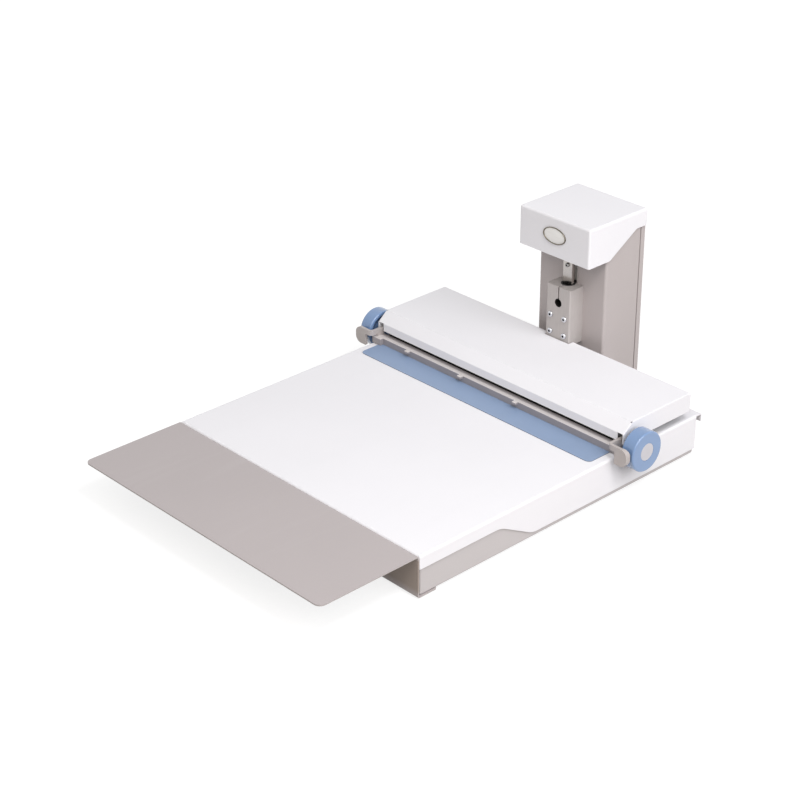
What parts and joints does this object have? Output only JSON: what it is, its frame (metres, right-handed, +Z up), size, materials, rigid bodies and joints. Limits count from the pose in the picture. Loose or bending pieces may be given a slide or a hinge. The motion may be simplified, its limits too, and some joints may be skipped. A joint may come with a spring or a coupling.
{
  "type": "bench sheet press with feed roller",
  "caption": "Low bench machine of folded sheet steel: white table with front shelf, hood over a sheet throat, hold-down bar with levers, knobbed feed roller and a rear column with press rod.",
  "frame": {"origin": "on the standing surface, under the middle of the object's box", "axes": "+X to the operator's right along the roller, +Y from the front shelf to the column, +Z up"},
  "size_m": [0.427, 0.6122, 0.237],
  "materials": {
    "white_paint": "satin powder coat",
    "grey_paint": "satin powder coat",
    "shelf_paint": "satin powder coat",
    "lever_paint": "satin powder coat",
    "blue_strip": "matt sheet",
    "blue_plastic": "smooth moulded",
    "grey_plastic": "smooth moulded",
    "block_aluminium": "satin anodised",
    "chromed_rod": "ground and polished",
    "black_plastic": "fine moulded",
    "bright_steel": "bright",
    "zinc_steel": "zinc plated",
    "beam_aluminium": "as drawn",
    "rubber": "matt"
  },
  "bodies": {
    "base": {"table_cover": "white_paint", "hood": "white_paint", "cap": "white_paint", "base_tray": "grey_paint", "column_channel": "grey_paint", "column_rear_cover": "grey_paint", "front_shelf": "shelf_paint", "guide_strip": "blue_strip", "guide_block": "block_aluminium", "guide_bush": "black_plastic", "power_inlet": "black_plastic", "left_roller_bush": "black_plastic", "right_roller_bush": "black_plastic", "block_screws": "bright_steel", "clamp_screw": "bright_steel", "column_bolts": "bright_steel", "column_nuts": "bright_steel", "shelf_screws": "bright_steel", "left_pivot_pin": "bright_steel", "right_pivot_pin": "bright_steel", "left_side_frame": "zinc_steel", "right_side_frame": "zinc_steel", "drive_shelf": "zinc_steel", "motor_bracket": "zinc_steel", "gearmotor": "zinc_steel", "rubber_feet": "rubber"},
    "feed_roller": {"roller_shaft": "bright_steel", "roller_sleeve": "rubber", "left_knob": "blue_plastic", "right_knob": "blue_plastic", "left_knob_cap": "grey_plastic", "right_knob_cap": "grey_plastic"},
    "hold_down": {"hold_down_bar": "lever_paint", "left_lever": "lever_paint", "right_lever": "lever_paint"},
    "press": {"press_rod": "chromed_rod", "rod_screw": "bright_steel", "press_arm": "beam_aluminium", "press_beam": "beam_aluminium", "press_pad": "rubber"},
    "pinion": {"drive_pinion": "bright_steel", "motor_shaft": "bright_steel"}
  },
  "joints": [
    {"name": "roller_spin", "type": "hinge", "parent": "base", "child": "feed_roller", "pos_m": [0, 0.13045, 0.0567], "axis": [1, 0, 0], "continuous": true},
    {"name": "hold_down_lift", "type": "hinge", "parent": "base", "child": "hold_down", "pos_m": [0, 0.16695, 0.0693], "axis": [-1, 0, 0], "range_deg": [0, 4]},
    {"name": "press_slide", "type": "slide", "parent": "base", "child": "press", "axis": [0, 0, -1], "range_m": [0, 0.01]},
    {"name": "pinion_spin", "type": "hinge", "parent": "base", "child": "pinion", "pos_m": [0, 0.2482, 0.2141], "axis": [1, 0, 0], "range_deg": [0, 72]}
  ],
  "couplings": [
    {"joint": "pinion_spin", "follows": "press_slide", "rad_per_m": 125}
  ]
}
